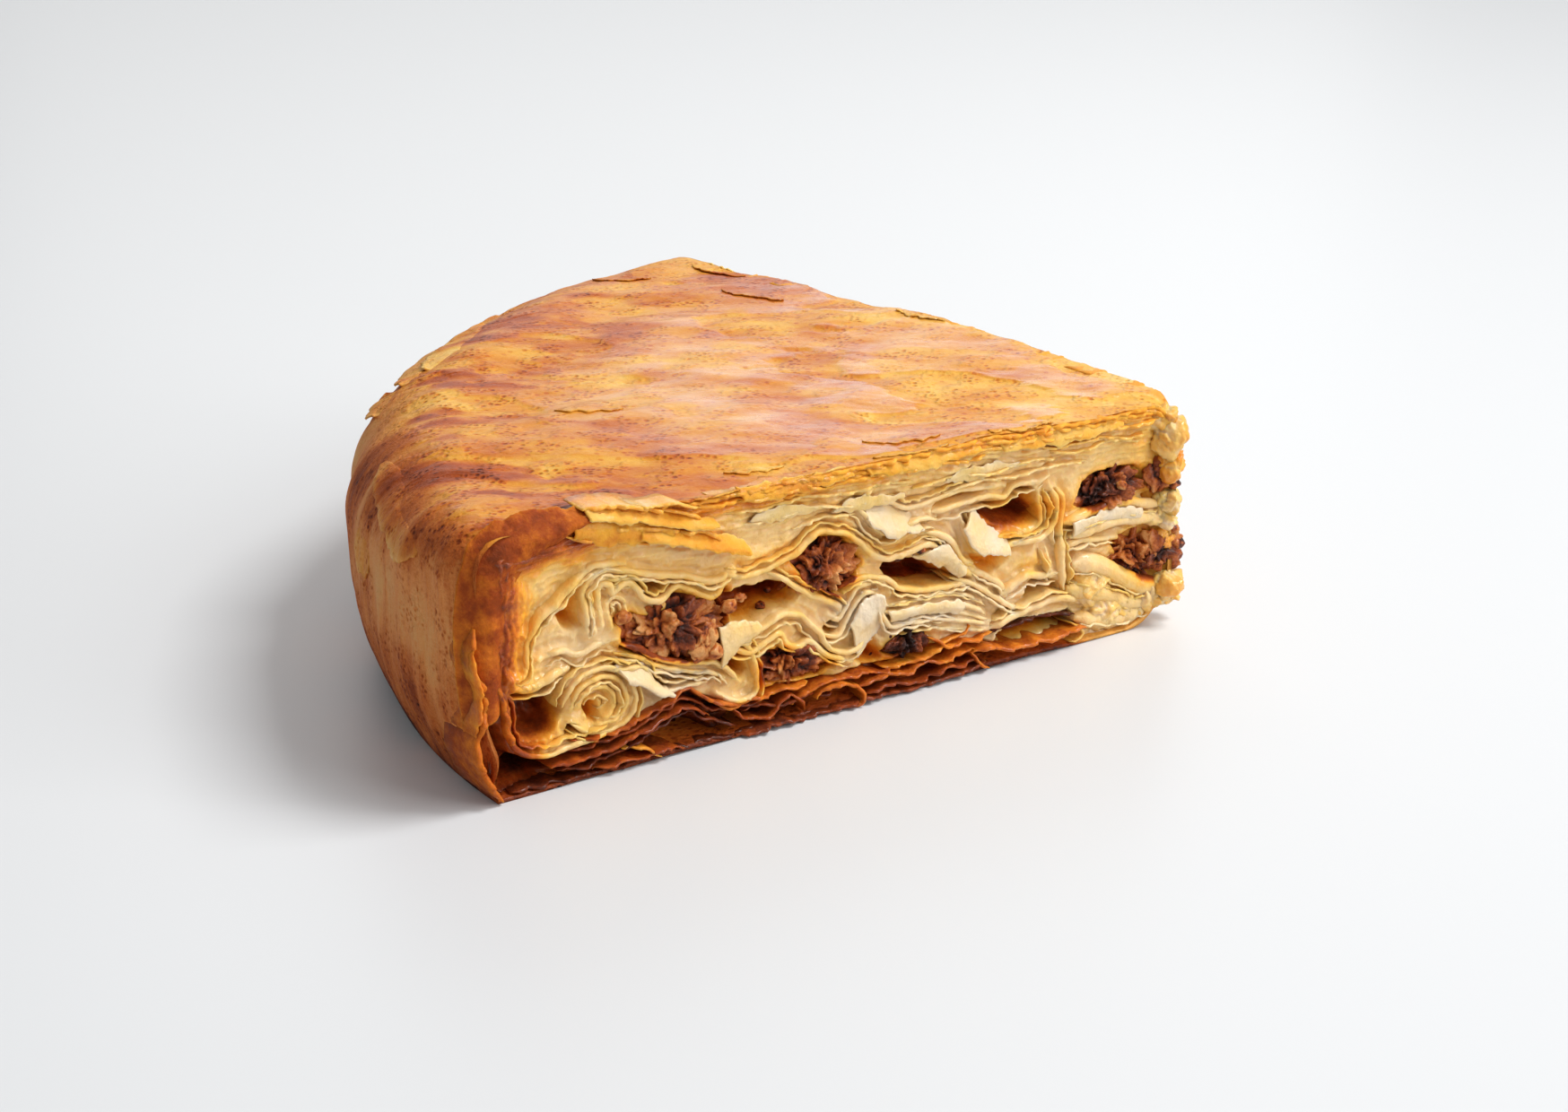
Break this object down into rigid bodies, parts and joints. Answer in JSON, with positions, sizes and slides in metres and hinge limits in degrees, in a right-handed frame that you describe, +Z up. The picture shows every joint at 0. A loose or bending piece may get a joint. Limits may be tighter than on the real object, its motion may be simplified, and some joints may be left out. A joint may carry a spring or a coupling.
{
  "type": "burek",
  "caption": "Wedge of round meat burek: golden flaky top and rim, crumpled pastry sheets at the cuts, bands of minced meat through it.",
  "frame": {"origin": "centre of the bounding box at the height of the surface that the base rests on", "axes": "+Z up; the front cut faces -Y, the tip points to +X and the rolled rim lies towards -X"},
  "size_m": [0.1559, 0.1522, 0.0471],
  "materials": {
    "pastry": "baked filo dough, oily golden crust outside and cream sheets at the cuts",
    "meat": "browned minced meat, moist"
  },
  "bodies": {
    "root": {"pastry": "pastry", "meat_rim": "meat", "meat_middle": "meat", "meat_base": "meat", "meat_dark": "meat", "meat_tip_high": "meat", "meat_tip_low": "meat"}
  },
  "joints": []
}
